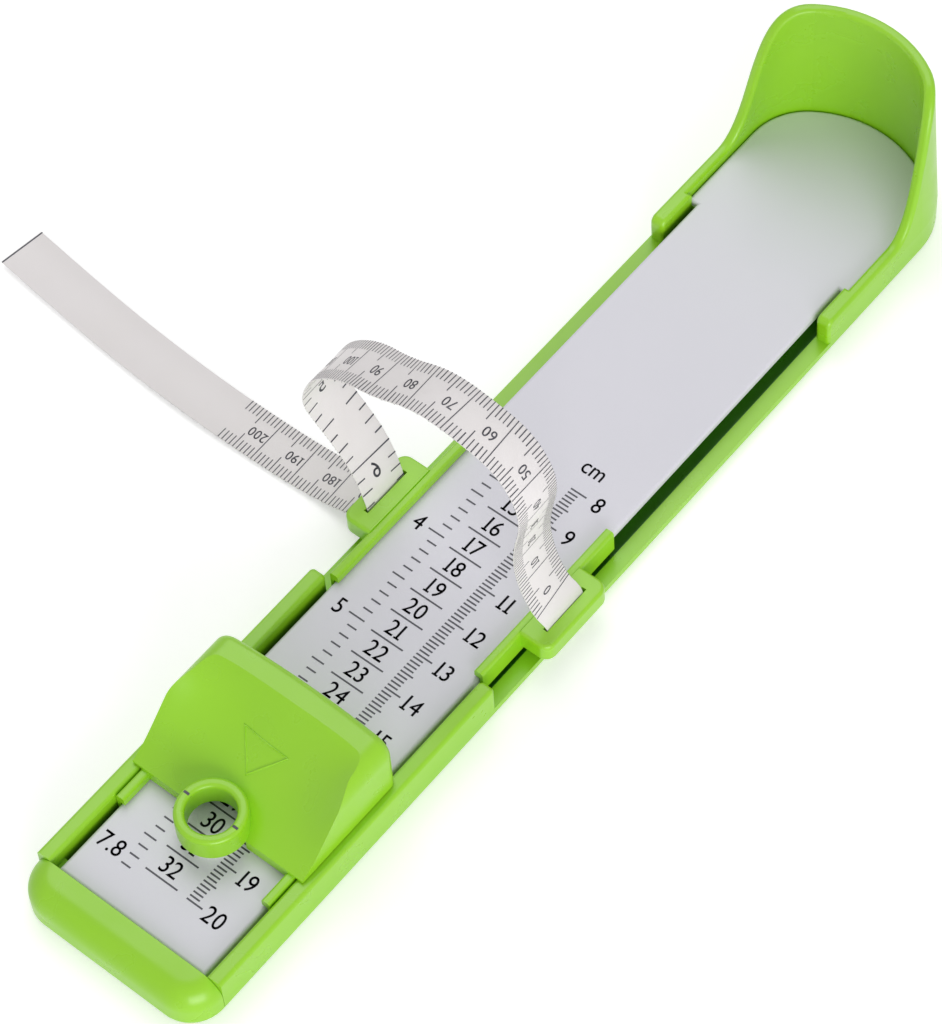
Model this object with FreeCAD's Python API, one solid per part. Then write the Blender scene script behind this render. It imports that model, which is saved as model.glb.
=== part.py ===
"""Foot measuring gauge for shoe fitting.

A long moulded tray carries a printed plate.  The heel stands in a cup at one
end, a toe slider with a reading ring runs along the plate from the other end,
and a carriage between them carries a flexible tape that loops over the foot.

Millimetres, +Z up.  Y runs along the gauge, with the heel cup at +Y.  The
origin is on the table, under the middle of the tray.
"""
import FreeCAD
import Part

import math
import os

# --- tray ---------------------------------------------------------------
CAP_LENGTH = 8.4             # toe end cap, along Y
TOE_WALL_LENGTH = 83.2       # high side walls, from the cap seam
OPEN_LENGTH = 111.8          # low ledges, where the carriage travels
HEEL_LENGTH = 53.0           # rails and cup, to the back of the cup
TRAY_HALF_WIDTH = 23.9
SIDE_WALL = 3.6              # thickness of the walls and ledges
GROOVE_FLOOR = 1.4           # floor thickness under the grooves
LEDGE_HEIGHT = 2.5
BED_HEIGHT = 3.0             # raised middle of the floor
BED_HALF_WIDTH = 14.5
TOE_WALL_RISE = 2.3          # above the plate
RAIL_RISE = 2.2              # above the plate
CUP_RISE = 35.4              # above the plate
RAIL_RUN = 23.3              # straight rail top, from its rounded front
SWEEP_RUN = 21.5             # the rim climbs from the rail to the cup over this
HEEL_BACK_RADIUS = 29.0      # plan radius at the back of the cup
HEEL_CORNER_RADIUS = 17.5    # plan radius between side and back
HEEL_WALL = 2.5              # thickness of the rails and the cup
CUP_LEAN = 2.2               # the cup leans in by this, from the plate to its top
SWEEP_FOOT = 0.52            # share of the sweep before the rim turns up
SWEEP_HEAD = 0.59            # share of the sweep over which it levels out
RIM_ROUND = 0.9
BASE_ROUND = 1.0             # lower outer edge
RIB_HALF_WIDTH = 12.0        # ribs on the bed that carry the plate
RIB_GAP = 2.0                # from the ends of the ribs to what is next
GROOVE_END = 3.5             # blocks that close the grooves at the toe
SHELF_WIDTH = 2.5            # ledge that carries the plate round the heel

# --- printed plate ------------------------------------------------------
PLATE_TOP = 7.3
PLATE_THICKNESS = 1.8
PLATE_HALF_WIDTH = 18.95
HEEL_NECK = 10.4             # from the rail front to where the plate widens
PLATE_TOE_INSET = 0.5        # toe edge of the plate from the cap seam
PLATE_ROUND = 0.8
PLATE_FIT = 0.15             # plate to tray, all round

# --- screws -------------------------------------------------------------
SCREW_RADIUS = 1.1
SCREW_HEAD_RADIUS = 2.3
SCREW_HEAD_HEIGHT = 1.0
SCREW_LENGTH = 4.0
SCREW_SEAT = 1.2             # depth of the pocket for the head
SCREW_INSET = 10.0           # from the ends of the toe rib
BOSS_RADIUS = 3.0
THREAD_FIT = 0.02
SHANK_CLEARANCE = 0.3

# --- sliding pieces -----------------------------------------------------
RUN_CLEARANCE = 0.3          # sliding piece to plate and tray
LIP_OVERLAP = 1.1            # lip over the margin of the plate
LIP_RISE = 2.4               # top of the lip above the plate
HOOK_REACH = 2.6             # hook under the margin of the plate
HOOK_THICKNESS = 1.5

# --- carriage -----------------------------------------------------------
CARRIAGE_LENGTH = 42.5
CARRIAGE_STOP_GAP = 0.8      # to the end of the toe walls at rest
BRACKET_LENGTH = 20.0
BRACKET_PLACE = 22.0         # middle of the brackets from the toe end
BRACKET_REACH = 27.1         # outer face from the middle plane
BRACKET_BOTTOM = 4.9
BRACKET_TOP = 9.9
BRACKET_ROUND = 2.5
BRACKET_EDGE = 0.8
SLOT_INSET = 3.6             # outer face to the middle of the tape slot
SLOT_WIDTH = 1.1
SLOT_SIDE_FIT = 0.6          # slot longer than the tape is wide, each side
PIN_RADIUS = 0.8
PIN_LENGTH = 15.0
PIN_HEIGHT = 4.6

# --- tape ---------------------------------------------------------------
TAPE_WIDTH = 11.5
TAPE_THICKNESS = 0.35

# --- toe slider ---------------------------------------------------------
SLIDER_TOE_EDGE = 26.3       # from the cap seam to the toe edge of the shell
SLIDER_LENGTH = 29.5         # toe edge to the middle of the heel face
SLIDER_HALF_WIDTH = 22.1
SLIDER_HEIGHT = 17.2         # above the plate
SLIDER_TOE_RISE = 3.2        # thickness over the plate at the toe edge
SLIDER_RIDGE_RUN = 17.5      # the side ridges climb over this length
SLIDER_DISH_RUN = 24.3       # the middle climbs over this length
CREST_MARGIN = 0.4           # slope runs out this far above the flat crest
SLIDER_CORNER = 4.2          # rounding of the long top edges
SLIDER_FACE_BULGE = 1.0      # heel face curves out in plan
SLIDER_FACE_ROUND = 2.0
SLIDER_RUNNER_TOE = 7.5      # runners reach past the toe edge
SLIDER_WALL = 2.2
RING_RADIUS = 7.5
RING_BORE = 5.2
RING_RISE = 8.8              # top of the ring above the plate
RING_OFFSET = -0.9           # ring axis from the toe edge
RING_HANG = 3.0              # underside of the ring above the plate
RING_ROUND = 0.9

# --- cap ----------------------------------------------------------------
CAP_CORNER = 8.0
CAP_SEAM = 0.1
CAP_NOSE_ROUND = 5.0
CAP_TONGUE_LENGTH = 10.0
CAP_TONGUE_HALF_WIDTH = 9.0

# --- places that follow -------------------------------------------------
TOTAL_LENGTH = CAP_LENGTH + TOE_WALL_LENGTH + OPEN_LENGTH + HEEL_LENGTH
TOE_FRONT = -TOTAL_LENGTH / 2
SEAM = TOE_FRONT + CAP_LENGTH
TOE_WALL_END = SEAM + TOE_WALL_LENGTH
RAIL_START = TOE_WALL_END + OPEN_LENGTH
HEEL_BACK = RAIL_START + HEEL_LENGTH
NECK = RAIL_START + HEEL_NECK
WALL_INNER = TRAY_HALF_WIDTH - SIDE_WALL
PLATE_BOTTOM = PLATE_TOP - PLATE_THICKNESS
PLATE_TOE = SEAM + PLATE_TOE_INSET
CUP_TOP = PLATE_TOP + CUP_RISE

LIP_TOP = PLATE_TOP + LIP_RISE
LEG_INNER = PLATE_HALF_WIDTH + RUN_CLEARANCE
LEG_OUTER = WALL_INNER - RUN_CLEARANCE
HOOK_TOP = PLATE_BOTTOM - RUN_CLEARANCE
HOOK_BOTTOM = HOOK_TOP - HOOK_THICKNESS
CARRIAGE_TOE = TOE_WALL_END + CARRIAGE_STOP_GAP
BRACKET_MIDDLE = CARRIAGE_TOE + BRACKET_PLACE
SLOT_PLACE = BRACKET_REACH - SLOT_INSET
SLOT_LENGTH = TAPE_WIDTH + 2 * SLOT_SIDE_FIT
PIN_PLACE = SLOT_PLACE + PIN_RADIUS + TAPE_THICKNESS / 2 + THREAD_FIT
SHELL_TOE = SEAM + SLIDER_TOE_EDGE
SHELL_FACE = SHELL_TOE + SLIDER_LENGTH
RING_Y = SHELL_TOE + RING_OFFSET

TOE_RIB = (SEAM + CAP_TONGUE_LENGTH + RIB_GAP, TOE_WALL_END - RIB_GAP)
HEEL_RIB = (RAIL_START, NECK + RIB_GAP)
HEEL_CENTRE = HEEL_BACK - HEEL_BACK_RADIUS
HEEL_PLATE_INSET = HEEL_WALL + PLATE_FIT
HEEL_PLATE_HALF_WIDTH = TRAY_HALF_WIDTH - HEEL_PLATE_INSET
PLATE_HEEL_CENTRE = HEEL_BACK - HEEL_PLATE_INSET - HEEL_PLATE_HALF_WIDTH
CAP_SCREW_Y = SEAM + CAP_TONGUE_LENGTH / 2
PLATE_SCREWS_Y = (TOE_RIB[0] + SCREW_INSET, TOE_RIB[1] - SCREW_INSET, PLATE_HEEL_CENTRE)


def point(x, y, z=0.0):
    return FreeCAD.Vector(x, y, z)


def block(x0, x1, y0, y1, z0, z1):
    return Part.makeBox(x1 - x0, y1 - y0, z1 - z0, point(x0, y0, z0))


def rod(radius, x, y, z0, z1):
    return Part.makeCylinder(radius, z1 - z0, point(x, y, z0))


def unit(vector):
    return vector * (1.0 / vector.Length)


def line(start, end):
    return Part.LineSegment(start, end).toShape()


def rounded_edges(corners, radii, closed=True):
    """Straight edges through the corners, each corner rounded to its radius."""
    count = len(corners)
    edges = []
    joints = []
    for index, corner in enumerate(corners):
        radius = radii[index]
        inner = closed or 0 < index < count - 1
        if radius == 0 or not inner:
            joints.append((corner, corner))
            continue
        back = unit(corners[index - 1] - corner)
        ahead = unit(corners[(index + 1) % count] - corner)
        half = back.getAngle(ahead) / 2
        reach = radius / math.tan(half)
        bisector = unit(back + ahead)
        middle = corner + bisector * (radius / math.sin(half) - radius)
        start = corner + back * reach
        end = corner + ahead * reach
        joints.append((start, end))
        edges.append((index, Part.Arc(start, middle, end).toShape()))
    ordered = dict(edges)
    result = []
    for index in range(count):
        if index in ordered:
            result.append(ordered[index])
        following = (index + 1) % count
        if following == 0 and not closed:
            break
        leaving = joints[index][1]
        arriving = joints[following][0]
        if (arriving - leaving).Length > 1e-4:
            result.append(line(leaving, arriving))
    return result


def rounded_face(corners, radii):
    return Part.Face(Part.Wire(rounded_edges(corners, radii)))


def edges_where(shape, test):
    return [edge for edge in shape.Edges if test(edge)]


def level_edge(edge, height):
    """True for an edge that lies wholly at one height."""
    limits = edge.BoundBox
    return abs(limits.ZMin - height) < 1e-3 and abs(limits.ZMax - height) < 1e-3


# --- tray ---------------------------------------------------------------

def heel_arcs(inset, height=0.0):
    """Round heel end from the right side to the left, moved inward by inset."""
    half = TRAY_HALF_WIDTH - inset
    back_radius = HEEL_BACK_RADIUS - inset
    corner_radius = HEEL_CORNER_RADIUS - inset
    across = TRAY_HALF_WIDTH - HEEL_CORNER_RADIUS
    spread = HEEL_BACK_RADIUS - HEEL_CORNER_RADIUS
    corner_y = HEEL_CENTRE + math.sqrt(spread ** 2 - across ** 2)
    lean = math.atan2(across, corner_y - HEEL_CENTRE)
    swing = (math.pi / 2 - lean) / 2
    side = point(half, corner_y, height)
    middle = point(across + corner_radius * math.cos(swing),
                   corner_y + corner_radius * math.sin(swing), height)
    meet = point(back_radius * math.sin(lean),
                 HEEL_CENTRE + back_radius * math.cos(lean), height)
    back = point(0, HEEL_CENTRE + back_radius, height)
    left = [point(-p.x, p.y, height) for p in (side, middle, meet)]
    return side, left[0], [
        Part.Arc(side, middle, meet).toShape(),
        Part.Arc(meet, back, left[2]).toShape(),
        Part.Arc(left[2], left[1], left[0]).toShape(),
    ]


def heel_outline(start, inset, height=0.0):
    """Closed plan outline from the line y = start round the heel."""
    right, left, arcs = heel_arcs(inset, height)
    first = point(right.x, start, height)
    last = point(left.x, start, height)
    return Part.Wire([line(last, first), line(first, right)] + arcs + [line(left, last)])


def leaning(start, inset, top):
    """Solid inside the heel's outline that leans in above the plate."""
    lean = CUP_LEAN * (top - PLATE_TOP) / CUP_RISE
    upper = Part.makeLoft([heel_outline(start, inset, PLATE_TOP),
                           heel_outline(start, inset + lean, top)], True, True)
    return upper


def side_profile():
    """Tray seen from the side, as a face in the YZ plane."""
    wall = PLATE_TOP + TOE_WALL_RISE
    rail = PLATE_TOP + RAIL_RISE
    rail_end = RAIL_START + RAIL_RUN
    cup = rail_end + SWEEP_RUN
    corners = [
        point(0, SEAM, wall),
        point(0, TOE_WALL_END, wall),
        point(0, TOE_WALL_END, LEDGE_HEIGHT),
        point(0, RAIL_START, LEDGE_HEIGHT),
        point(0, RAIL_START, rail),
        point(0, rail_end, rail),
    ]
    radii = [0, 1.2, 0, 0, 1.8, 0]
    edges = rounded_edges(corners, radii, closed=False)
    sweep = Part.BezierCurve()
    sweep.setPoles([
        point(0, rail_end, rail),
        point(0, rail_end + SWEEP_FOOT * SWEEP_RUN, rail),
        point(0, cup - SWEEP_HEAD * SWEEP_RUN, CUP_TOP),
        point(0, cup, CUP_TOP),
    ])
    edges.append(sweep.toShape())
    edges.append(line(point(0, cup, CUP_TOP), point(0, HEEL_BACK + 1, CUP_TOP)))
    edges.append(line(point(0, HEEL_BACK + 1, CUP_TOP), point(0, HEEL_BACK + 1, 0)))
    edges.append(line(point(0, HEEL_BACK + 1, 0), point(0, SEAM, 0)))
    edges.append(line(point(0, SEAM, 0), point(0, SEAM, wall)))
    return Part.Face(Part.Wire(edges))


def plate_outline(margin):
    """Plan of the plate: a straight strip with a wider, round heel end."""
    narrow = PLATE_HALF_WIDTH + margin
    wide = HEEL_PLATE_HALF_WIDTH + margin
    toe = PLATE_TOE - margin
    neck = NECK - margin
    right, left, arcs = heel_arcs(HEEL_PLATE_INSET - margin)
    edges = [
        line(point(-narrow, toe), point(narrow, toe)),
        line(point(narrow, toe), point(narrow, neck)),
        line(point(narrow, neck), point(wide, neck)),
        line(point(wide, neck), right),
    ] + arcs + [
        line(left, point(-wide, neck)),
        line(point(-wide, neck), point(-narrow, neck)),
        line(point(-narrow, neck), point(-narrow, toe)),
    ]
    return Part.Face(Part.Wire(edges))


def raised(face, z0, z1):
    moved = face.copy()
    moved.translate(point(0, 0, z0))
    return moved.extrude(point(0, 0, z1 - z0))


def heel_well(margin, z0, z1):
    """The round heel end of the plate's outline, as a cutting solid."""
    outline = raised(plate_outline(margin), z0, z1)
    return outline.common(block(-40, 40, NECK - margin, HEEL_BACK, z0, z1))


def base_tray():
    half = TRAY_HALF_WIDTH
    walls = block(-half, half, SEAM, RAIL_START, PLATE_TOP, CUP_TOP)
    body = raised(Part.Face(heel_outline(SEAM, 0)), 0, PLATE_TOP)
    body = body.multiFuse([walls, leaning(RAIL_START, 0, CUP_TOP)]).removeSplitter()
    profile = side_profile().extrude(point(2 * half, 0, 0))
    profile.translate(point(-half, 0, 0))
    body = body.common(profile)
    lower = edges_where(body, lambda e: level_edge(e, 0) and e.BoundBox.YMax > SEAM + 1)
    body = body.makeFillet(BASE_ROUND, lower)

    sky = CUP_TOP + 5
    channel = block(-WALL_INNER, WALL_INNER, SEAM - 1, NECK - PLATE_FIT, GROOVE_FLOOR, sky)
    bed = block(-BED_HALF_WIDTH, BED_HALF_WIDTH, SEAM - 1, NECK, GROOVE_FLOOR, BED_HEIGHT)
    ribs = [block(-RIB_HALF_WIDTH, RIB_HALF_WIDTH, rib[0], rib[1],
                  GROOVE_FLOOR, PLATE_BOTTOM) for rib in (TOE_RIB, HEEL_RIB)]
    ends = [block(min(side * RIB_HALF_WIDTH, side * WALL_INNER),
                  max(side * RIB_HALF_WIDTH, side * WALL_INNER),
                  SEAM - 1, SEAM + GROOVE_END, GROOVE_FLOOR, PLATE_BOTTOM)
            for side in (-1, 1)]
    channel = channel.cut(bed.multiFuse(ribs + ends))
    well = heel_well(PLATE_FIT, PLATE_BOTTOM, PLATE_TOP)
    well = well.fuse(leaning(NECK - PLATE_FIT, HEEL_WALL, sky)).removeSplitter()
    under = heel_well(-SHELF_WIDTH, BED_HEIGHT, PLATE_BOTTOM)
    heel_post = rod(BOSS_RADIUS + 3.0, 0, PLATE_HEEL_CENTRE, BED_HEIGHT, PLATE_BOTTOM)
    under = under.cut(heel_post.fuse(ribs[1]))
    body = body.cut(channel).cut(well).cut(under)

    rim = edges_where(body, is_rim_edge)
    body = body.makeFillet(RIM_ROUND, rim)
    for y in PLATE_SCREWS_Y:
        socket = rod(BOSS_RADIUS + PLATE_FIT, 0, y, BED_HEIGHT - 1.0, PLATE_BOTTOM + 1)
        body = body.cut(socket)
    for y in (CAP_SCREW_Y,) + PLATE_SCREWS_Y:
        body = body.cut(rod(SCREW_RADIUS + SHANK_CLEARANCE, 0, y, -1, BED_HEIGHT + 1))
        body = body.cut(rod(SCREW_HEAD_RADIUS + SHANK_CLEARANCE, 0, y, -1, SCREW_SEAT))
    return body


def is_rim_edge(edge):
    """Edges along the top of the toe walls, the rails and the cup rim."""
    limits = edge.BoundBox
    wall = PLATE_TOP + TOE_WALL_RISE
    if limits.ZMin < wall - 1.3 or limits.ZMax > CUP_TOP + 0.1:
        return False
    if limits.YLength < 0.05 and limits.XLength > 3 and limits.YMin < SEAM + 1:
        return False
    upright = limits.ZLength > 1.5 and limits.XLength < 1e-3 and limits.YLength < 1e-3
    return not upright


# --- plate --------------------------------------------------------------

def foot_plate():
    plate = raised(plate_outline(0), PLATE_BOTTOM, PLATE_TOP)
    top = edges_where(plate, lambda e: level_edge(e, PLATE_TOP))
    plate = plate.makeFillet(PLATE_ROUND, top)
    foot = BED_HEIGHT - 1.0 + PLATE_FIT
    for y in PLATE_SCREWS_Y:
        plate = plate.fuse(rod(BOSS_RADIUS, 0, y, foot, PLATE_BOTTOM))
    for y in PLATE_SCREWS_Y:
        pilot = rod(SCREW_RADIUS + THREAD_FIT, 0, y, foot - 1, PLATE_TOP - 1.2)
        plate = plate.cut(pilot)
    return plate.removeSplitter()


# --- toe end cap --------------------------------------------------------

def toe_end_cap():
    half = TRAY_HALF_WIDTH
    top = PLATE_TOP + TOE_WALL_RISE
    back = SEAM - CAP_SEAM
    corners = [point(-half, back), point(half, back), point(half, TOE_FRONT),
               point(-half, TOE_FRONT)]
    body = raised(rounded_face(corners, [0, 0, CAP_CORNER, CAP_CORNER]), 0, top)
    base = edges_where(body, lambda e: level_edge(e, 0) and e.BoundBox.YMin < back - 0.5)
    body = body.makeFillet(BASE_ROUND, base)
    nose = edges_where(body, lambda e: level_edge(e, top) and e.BoundBox.YMin < back - 0.5)
    body = body.makeFillet(CAP_NOSE_ROUND, nose)
    tongue = block(-CAP_TONGUE_HALF_WIDTH, CAP_TONGUE_HALF_WIDTH, back - 1,
                   SEAM + CAP_TONGUE_LENGTH, BED_HEIGHT + PLATE_FIT,
                   PLATE_BOTTOM - PLATE_FIT)
    body = body.fuse(tongue)
    pilot = rod(SCREW_RADIUS + THREAD_FIT, 0, CAP_SCREW_Y, 0, PLATE_BOTTOM)
    return body.cut(pilot).removeSplitter()


# --- screws -------------------------------------------------------------

def base_screws():
    screws = []
    for y in (CAP_SCREW_Y,) + PLATE_SCREWS_Y:
        seat = SCREW_SEAT
        head = rod(SCREW_HEAD_RADIUS, 0, y, seat - SCREW_HEAD_HEIGHT, seat)
        shank = rod(SCREW_RADIUS, 0, y, seat, seat + SCREW_LENGTH)
        cross = block(-0.3, 0.3, y - 1.4, y + 1.4, 0, seat - 0.5)
        cross = cross.fuse(block(-1.4, 1.4, y - 0.3, y + 0.3, 0, seat - 0.5))
        screws.append(head.fuse(shank).cut(cross))
    return Part.makeCompound(screws)


# --- pieces that clip round the plate -----------------------------------

def runner(side, y0, y1):
    """Lip, leg and hook that wrap one long edge of the plate."""
    lip_inner = PLATE_HALF_WIDTH - LIP_OVERLAP
    lip_bottom = PLATE_TOP + RUN_CLEARANCE
    hook_inner = LEG_OUTER - HOOK_REACH - (LEG_OUTER - LEG_INNER)
    corners = [
        point(side * lip_inner, y0, lip_bottom),
        point(side * lip_inner, y0, LIP_TOP),
        point(side * LEG_OUTER, y0, LIP_TOP),
        point(side * LEG_OUTER, y0, HOOK_BOTTOM),
        point(side * hook_inner, y0, HOOK_BOTTOM),
        point(side * hook_inner, y0, HOOK_TOP),
        point(side * LEG_INNER, y0, HOOK_TOP),
        point(side * LEG_INNER, y0, lip_bottom),
    ]
    section = rounded_face(corners, [0, 0.7, 0.7, 0, 0, 0, 0, 0])
    return section.extrude(point(0, y1 - y0, 0))


def bracket(side):
    """Block that stands out over the ledge and holds the tape in its slot."""
    y0 = BRACKET_MIDDLE - BRACKET_LENGTH / 2
    y1 = BRACKET_MIDDLE + BRACKET_LENGTH / 2
    inner = side * (LEG_OUTER - 0.3)
    outer = side * BRACKET_REACH
    corners = [point(inner, y0), point(outer, y0), point(outer, y1), point(inner, y1)]
    plan = rounded_face(corners, [0, BRACKET_ROUND, BRACKET_ROUND, 0])
    body = raised(plan, BRACKET_BOTTOM, BRACKET_TOP)
    ends = edges_where(body, lambda e: (level_edge(e, BRACKET_TOP)
                                        or level_edge(e, BRACKET_BOTTOM))
                       and abs(e.CenterOfMass.x) > abs(inner) + 0.5)
    body = body.makeFillet(BRACKET_EDGE, ends)
    place = side * SLOT_PLACE
    slot = block(place - SLOT_WIDTH / 2, place + SLOT_WIDTH / 2,
                 BRACKET_MIDDLE - SLOT_LENGTH / 2, BRACKET_MIDDLE + SLOT_LENGTH / 2,
                 BRACKET_BOTTOM - 1, BRACKET_TOP + 1)
    return body.cut(slot)


def tape_carriage():
    toe = CARRIAGE_TOE
    heel = toe + CARRIAGE_LENGTH
    body = runner(-1, toe, heel).fuse(runner(1, toe, heel))
    strap = block(-LEG_INNER, LEG_INNER, BRACKET_MIDDLE - BRACKET_LENGTH / 2,
                  BRACKET_MIDDLE + BRACKET_LENGTH / 2, HOOK_BOTTOM, HOOK_TOP)
    body = body.multiFuse([strap, bracket(-1), bracket(1)])
    seat_radius = PIN_RADIUS + TAPE_THICKNESS + 2 * RUN_CLEARANCE
    seat = Part.makeCylinder(seat_radius, PIN_LENGTH + 2 * THREAD_FIT,
                             point(PIN_PLACE, BRACKET_MIDDLE - PIN_LENGTH / 2 - THREAD_FIT,
                                   PIN_HEIGHT), point(0, 1, 0))
    return body.cut(seat).removeSplitter()


def tape_anchor_pin():
    """Rod that the zero end of the tape is folded round, under its slot."""
    return Part.makeCylinder(PIN_RADIUS, PIN_LENGTH,
                             point(PIN_PLACE, BRACKET_MIDDLE - PIN_LENGTH / 2, PIN_HEIGHT),
                             point(0, 1, 0))


# --- tape ---------------------------------------------------------------

# The middle line of the tape, as X and Z: round the anchor pin, up through its
# slot, over the foot's place, down through the other slot, under that bracket
# and out along the table.  A third value is the radius of a tight bend; each
# other bend is as wide as its two runs allow.
FOLD = PIN_RADIUS + TAPE_THICKNESS / 2 + THREAD_FIT
PIN_OUTSIDE = SLOT_PLACE + 2 * FOLD
TAPE_ROUTE = [
    (PIN_OUTSIDE, PIN_HEIGHT + 0.8),
    (PIN_OUTSIDE, PIN_HEIGHT - FOLD, FOLD),
    (SLOT_PLACE, PIN_HEIGHT - FOLD, FOLD),
    (SLOT_PLACE, BRACKET_TOP + 1.3),
    (19.3, 16.5),
    (17.6, 23.5),
    (17.6, 32.0),
    (19.8, 42.0),
    (22.8, 53.0),
    (22.6, 62.5),
    (18.6, 71.0),
    (10.0, 74.8),
    (-0.5, 74.2),
    (-11.0, 69.2),
    (-21.5, 65.0),
    (-31.0, 57.0),
    (-34.0, 46.0),
    (-33.2, 38.8),
    (-30.2, 33.0),
    (-27.0, 27.5),
    (-24.9, 20.5),
    (-SLOT_PLACE, BRACKET_TOP + 1.0),
    (-SLOT_PLACE, 3.9, 1.4),
    (-28.8, 3.4),
    (-36.5, 0.9),
    (-52.0, 0.5),
    (-76.0, 1.2),
    (-106.0, 0.6),
    (-132.0, 1.2),
]
BEND_SHARE = 0.45            # of the shorter run, on each side of a bend


def bend_radii(corners):
    """Radius at each corner of the tape's route, and 0 at its two ends."""
    radii = [0]
    for index in range(1, len(corners) - 1):
        back = corners[index - 1] - corners[index]
        ahead = corners[index + 1] - corners[index]
        half_turn = (math.pi - back.getAngle(ahead)) / 2
        reach = BEND_SHARE * min(back.Length, ahead.Length)
        radii.append(reach / math.tan(half_turn))
    return radii + [0]


def measuring_tape():
    y = BRACKET_MIDDLE - TAPE_WIDTH / 2
    corners = [point(stop[0], y, stop[1]) for stop in TAPE_ROUTE]
    radii = bend_radii(corners)
    for index, stop in enumerate(TAPE_ROUTE):
        if len(stop) > 2:
            radii[index] = stop[2]
    path = Part.Wire(rounded_edges(corners, radii, closed=False))
    start = corners[0]
    reach = TAPE_THICKNESS / 2
    section = Part.makePolygon([
        start + point(-reach, 0, 0),
        start + point(reach, 0, 0),
        start + point(reach, TAPE_WIDTH, 0),
        start + point(-reach, TAPE_WIDTH, 0),
        start + point(-reach, 0, 0),
    ])
    tape = path.makePipeShell([section], True, False)
    expected = path.Length * TAPE_WIDTH * TAPE_THICKNESS
    print("tape length %.1f mm, volume %.1f of %.1f mm3"
          % (path.Length, tape.Volume, expected))
    print("tape bend radii, mm:", " ".join("%.1f" % radius for radius in radii))
    return tape


# --- toe slider ---------------------------------------------------------

def smooth(value):
    """0 below 0, 1 above 1, and an S-shaped climb between."""
    value = min(max(value, 0.0), 1.0)
    return value * value * (3 - 2 * value)


def shell_height(x, y):
    """Hollowed slope of the slider: the sides climb sooner than the middle."""
    climb = SLIDER_HEIGHT + CREST_MARGIN - SLIDER_TOE_RISE
    side = (y - SHELL_TOE) / SLIDER_RIDGE_RUN
    ridge = climb * (0.5 * min(max(side, 0.0), 1.0) + 0.5 * smooth(side))
    ramp = min(max((y - SHELL_TOE) / SLIDER_DISH_RUN, 0.0), 1.0)
    dish = climb * (0.55 * ramp + 0.45 * ramp ** 2)
    blend = min(abs(x) / SLIDER_HALF_WIDTH, 1.0) ** 3
    return PLATE_TOP + SLIDER_TOE_RISE + dish + (ridge - dish) * blend


def under_slope(drop):
    """Solid below the hollowed slope, lowered by drop, wider than the shell."""
    half = SLIDER_HALF_WIDTH + 2
    across = 17
    along = 25
    y0 = SHELL_TOE - 3
    y1 = SHELL_FACE + 3
    rows = []
    for j in range(along):
        y = y0 + (y1 - y0) * j / (along - 1)
        xs = [-half + 2 * half * i / (across - 1) for i in range(across)]
        rows.append([point(x, y, shell_height(x, y) - drop) for x in xs])
    surface = Part.BSplineSurface()
    surface.interpolate(rows)
    return surface.toShape().extrude(point(0, 0, -60))


def shell_block():
    """The slider's shell before its slope: rounded along its top and face."""
    half = SLIDER_HALF_WIDTH
    low = PLATE_TOP + RUN_CLEARANCE
    over_wall = PLATE_TOP + TOE_WALL_RISE + RUN_CLEARANCE
    top = PLATE_TOP + SLIDER_HEIGHT
    corners = [
        point(-half, 0, over_wall), point(-half, 0, top), point(half, 0, top),
        point(half, 0, over_wall), point(LEG_OUTER, 0, over_wall),
        point(LEG_OUTER, 0, low), point(-LEG_OUTER, 0, low),
        point(-LEG_OUTER, 0, over_wall),
    ]
    section = rounded_face(corners, [0, SLIDER_CORNER, SLIDER_CORNER, 0, 0, 0, 0, 0])
    section.translate(point(0, SHELL_TOE, 0))
    body = section.extrude(point(0, SLIDER_LENGTH + 5, 0))
    side_face = SHELL_FACE - SLIDER_FACE_BULGE
    outline = [
        line(point(-half - 1, SHELL_TOE - 1), point(half + 1, SHELL_TOE - 1)),
        line(point(half + 1, SHELL_TOE - 1), point(half + 1, side_face)),
        Part.Arc(point(half + 1, side_face), point(0, SHELL_FACE),
                 point(-half - 1, side_face)).toShape(),
        line(point(-half - 1, side_face), point(-half - 1, SHELL_TOE - 1)),
    ]
    body = body.common(raised(Part.Face(Part.Wire(outline)), 0, top + 1))
    face_rim = edges_where(body, lambda e: e.BoundBox.YMin > side_face - 0.1
                           and e.BoundBox.ZMax > over_wall + 1)
    return body.makeFillet(SLIDER_FACE_ROUND, face_rim)


def toe_slider():
    low = PLATE_TOP + RUN_CLEARANCE
    side_face = SHELL_FACE - SLIDER_FACE_BULGE
    body = shell_block().common(under_slope(0))
    inner = PLATE_HALF_WIDTH - LIP_OVERLAP - 0.4
    roof = PLATE_TOP + SLIDER_HEIGHT - SLIDER_WALL
    corners = [point(-inner, 0, low - 1), point(-inner, 0, roof), point(inner, 0, roof),
               point(inner, 0, low - 1)]
    section = rounded_face(corners, [0, SLIDER_CORNER - SLIDER_WALL,
                                     SLIDER_CORNER - SLIDER_WALL, 0])
    section.translate(point(0, SHELL_TOE + SLIDER_WALL, 0))
    hollow = section.extrude(point(0, side_face - SHELL_TOE - 2 * SLIDER_WALL, 0))
    body = body.cut(hollow.common(under_slope(1.3 * SLIDER_WALL)))

    ring_top = PLATE_TOP + RING_RISE
    ring = rod(RING_RADIUS, 0, RING_Y, PLATE_TOP + RING_HANG, ring_top)
    ring = ring.cut(rod(RING_BORE, 0, RING_Y, PLATE_TOP, ring_top + 1))
    ring = ring.makeFillet(RING_ROUND, edges_where(ring, lambda e: level_edge(e, ring_top)))
    runners = [runner(side, SHELL_TOE - SLIDER_RUNNER_TOE, side_face - 1.0)
               for side in (-1, 1)]
    # The slope is open over the ring's bore and under the ring.
    opening = rod(RING_RADIUS - RING_ROUND, 0, RING_Y, low - 1,
                  PLATE_TOP + SLIDER_HEIGHT + 5)
    relief = rod(RING_RADIUS, 0, RING_Y, low - 1, PLATE_TOP + RING_HANG)
    body = body.cut(opening).cut(relief)
    return body.multiFuse([ring] + runners).removeSplitter()


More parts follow.
